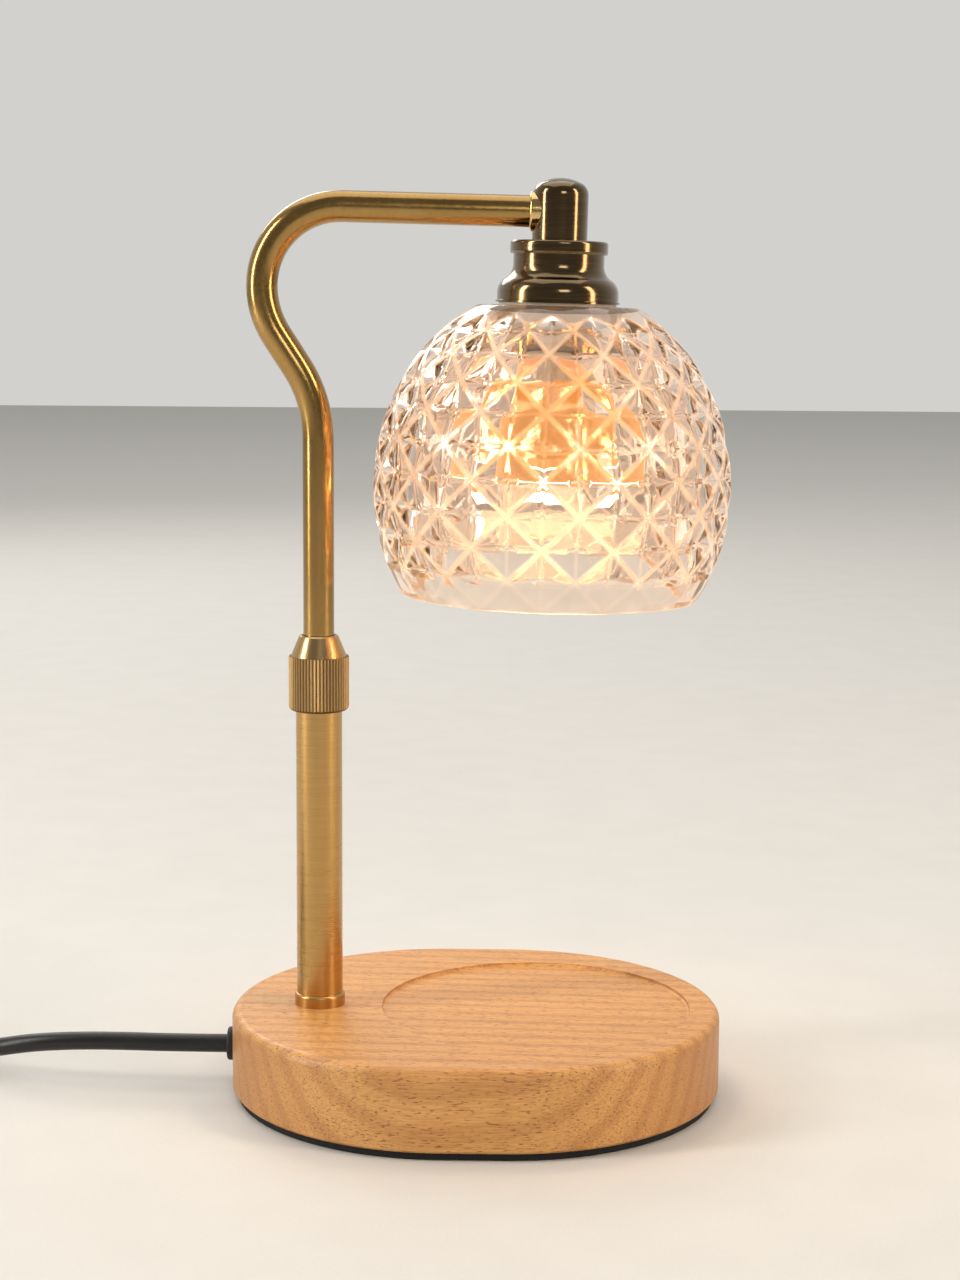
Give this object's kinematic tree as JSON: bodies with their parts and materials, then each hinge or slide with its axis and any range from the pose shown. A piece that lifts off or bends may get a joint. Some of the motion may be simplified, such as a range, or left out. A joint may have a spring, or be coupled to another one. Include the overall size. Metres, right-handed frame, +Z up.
{
  "type": "candle warmer lamp",
  "caption": "Table lamp with a glass shade on a height-adjustable, swinging brass arm over an oval wooden base, warming a candle from above, with a dimmer on its cord.",
  "frame": {"origin": "under the centre of the oval base, on the surface that the lamp stands on", "axes": "+Z up, +X right along the lamp's arm from the post towards the shade, +Y away from the camera"},
  "size_m": [0.4424, 0.14, 0.2965],
  "materials": {
    "honey_wood": "honey-coloured, open fine grain, oiled",
    "weight_steel": "plain mild steel plate",
    "screw_steel": "zinc plated",
    "cover_board": "matt black sheet",
    "pad_rubber": "matt black foam rubber",
    "grommet_rubber": "black rubber",
    "cord_jacket": "black soft PVC, slight sheen",
    "lead_insulation": "pale silicone sleeve",
    "white_nylon": "natural nylon",
    "satin_brass": "satin, warm antique gold",
    "polished_brass": "polished, dark antique",
    "bright_brass": "polished, pale gold",
    "knurled_brass": "fine straight knurl, satin",
    "machined_brass": "turned, unplated",
    "sleeve_steel": "pressed steel",
    "white_ceramic": "unglazed steatite",
    "gasket_silicone": "pale silicone",
    "amber_glass": "pressed lattice pattern, warm amber",
    "clear_glass": "clear, warm",
    "bulb_mirror": "mirrored glass",
    "black_plastic": "fine-textured black moulding",
    "board_laminate": "green circuit laminate",
    "wheel_plastic": "black, ribbed rim"
  },
  "bodies": {
    "base": {"wooden_base": "honey_wood", "base_weight": "weight_steel", "weight_screws": "screw_steel", "bottom_cover": "cover_board", "cover_screws": "screw_steel", "foot_pad": "pad_rubber", "cord_grommet": "grommet_rubber", "cord_tail_in_base": "cord_jacket", "cord_clamp": "white_nylon", "clamp_screws": "screw_steel", "terminal_block": "white_nylon", "terminal_screws": "machined_brass", "base_lead": "lead_insulation", "lower_tube": "satin_brass", "post_collar": "satin_brass", "tube_foot_bush": "machined_brass", "post_nipple": "machined_brass", "post_washer": "screw_steel", "post_nut": "machined_brass", "collet_bush": "machined_brass", "power_cord": "cord_jacket", "dimmer_base": "black_plastic", "dimmer_cover": "black_plastic", "dimmer_screws": "screw_steel", "dimmer_board": "board_laminate", "dimmer_resistor": "black_plastic", "dimmer_boots": "cord_jacket", "cord_lead_in": "cord_jacket", "cord_coil": "cord_jacket", "cord_to_plug": "cord_jacket", "plug_body": "cord_jacket", "plug_blades": "bright_brass"},
    "slider": {"slide_bush": "white_nylon"},
    "arm": {"upper_tube": "satin_brass", "tube_end_ring": "machined_brass", "tube_clip": "screw_steel", "arm_lead": "lead_insulation", "arm_ring": "bright_brass", "head_elbow": "polished_brass", "head_nipple": "machined_brass", "head_nut": "machined_brass", "head_cup": "polished_brass", "holder_sleeve": "sleeve_steel", "lamp_holder": "white_ceramic", "holder_contacts": "machined_brass", "holder_screws": "screw_steel", "upper_gasket": "gasket_silicone", "lower_gasket": "gasket_silicone", "shade_ring": "machined_brass", "glass_shade": "amber_glass", "bulb_base": "white_ceramic", "bulb_pins": "screw_steel", "bulb_reflector": "bulb_mirror", "bulb_lens": "clear_glass", "bulb_capsule": "clear_glass"},
    "collet": {"clamp_collet": "machined_brass"},
    "lock": {"locking_nut": "knurled_brass"},
    "wheel": {"dimmer_wheel": "wheel_plastic"}
  },
  "joints": [
    {"name": "height_slide", "type": "slide", "parent": "base", "child": "slider", "axis": [0, 0, 1], "range_m": [-0.036, 0.028], "deforming": ["base_lead"]},
    {"name": "arm_swing", "type": "hinge", "parent": "slider", "child": "arm", "pos_m": [-0.0515, 0, 0.09], "axis": [0, 0, 1], "range_deg": [-170, 170]},
    {"name": "collet_lift", "type": "slide", "parent": "base", "child": "collet", "axis": [0, 0, 1], "range_m": [0, 0.001]},
    {"name": "nut_turn", "type": "hinge", "parent": "collet", "child": "lock", "pos_m": [-0.0515, 0, 0.135], "axis": [0, 0, 1], "range_deg": [0, 360]},
    {"name": "dimmer_turn", "type": "hinge", "parent": "base", "child": "wheel", "pos_m": [-0.267, 0.034, 0.0128], "axis": [0, 1, 0], "range_deg": [0, 270]}
  ],
  "couplings": [
    {"joint": "nut_turn", "follows": "collet_lift", "rad_per_m": 6283.1}
  ]
}
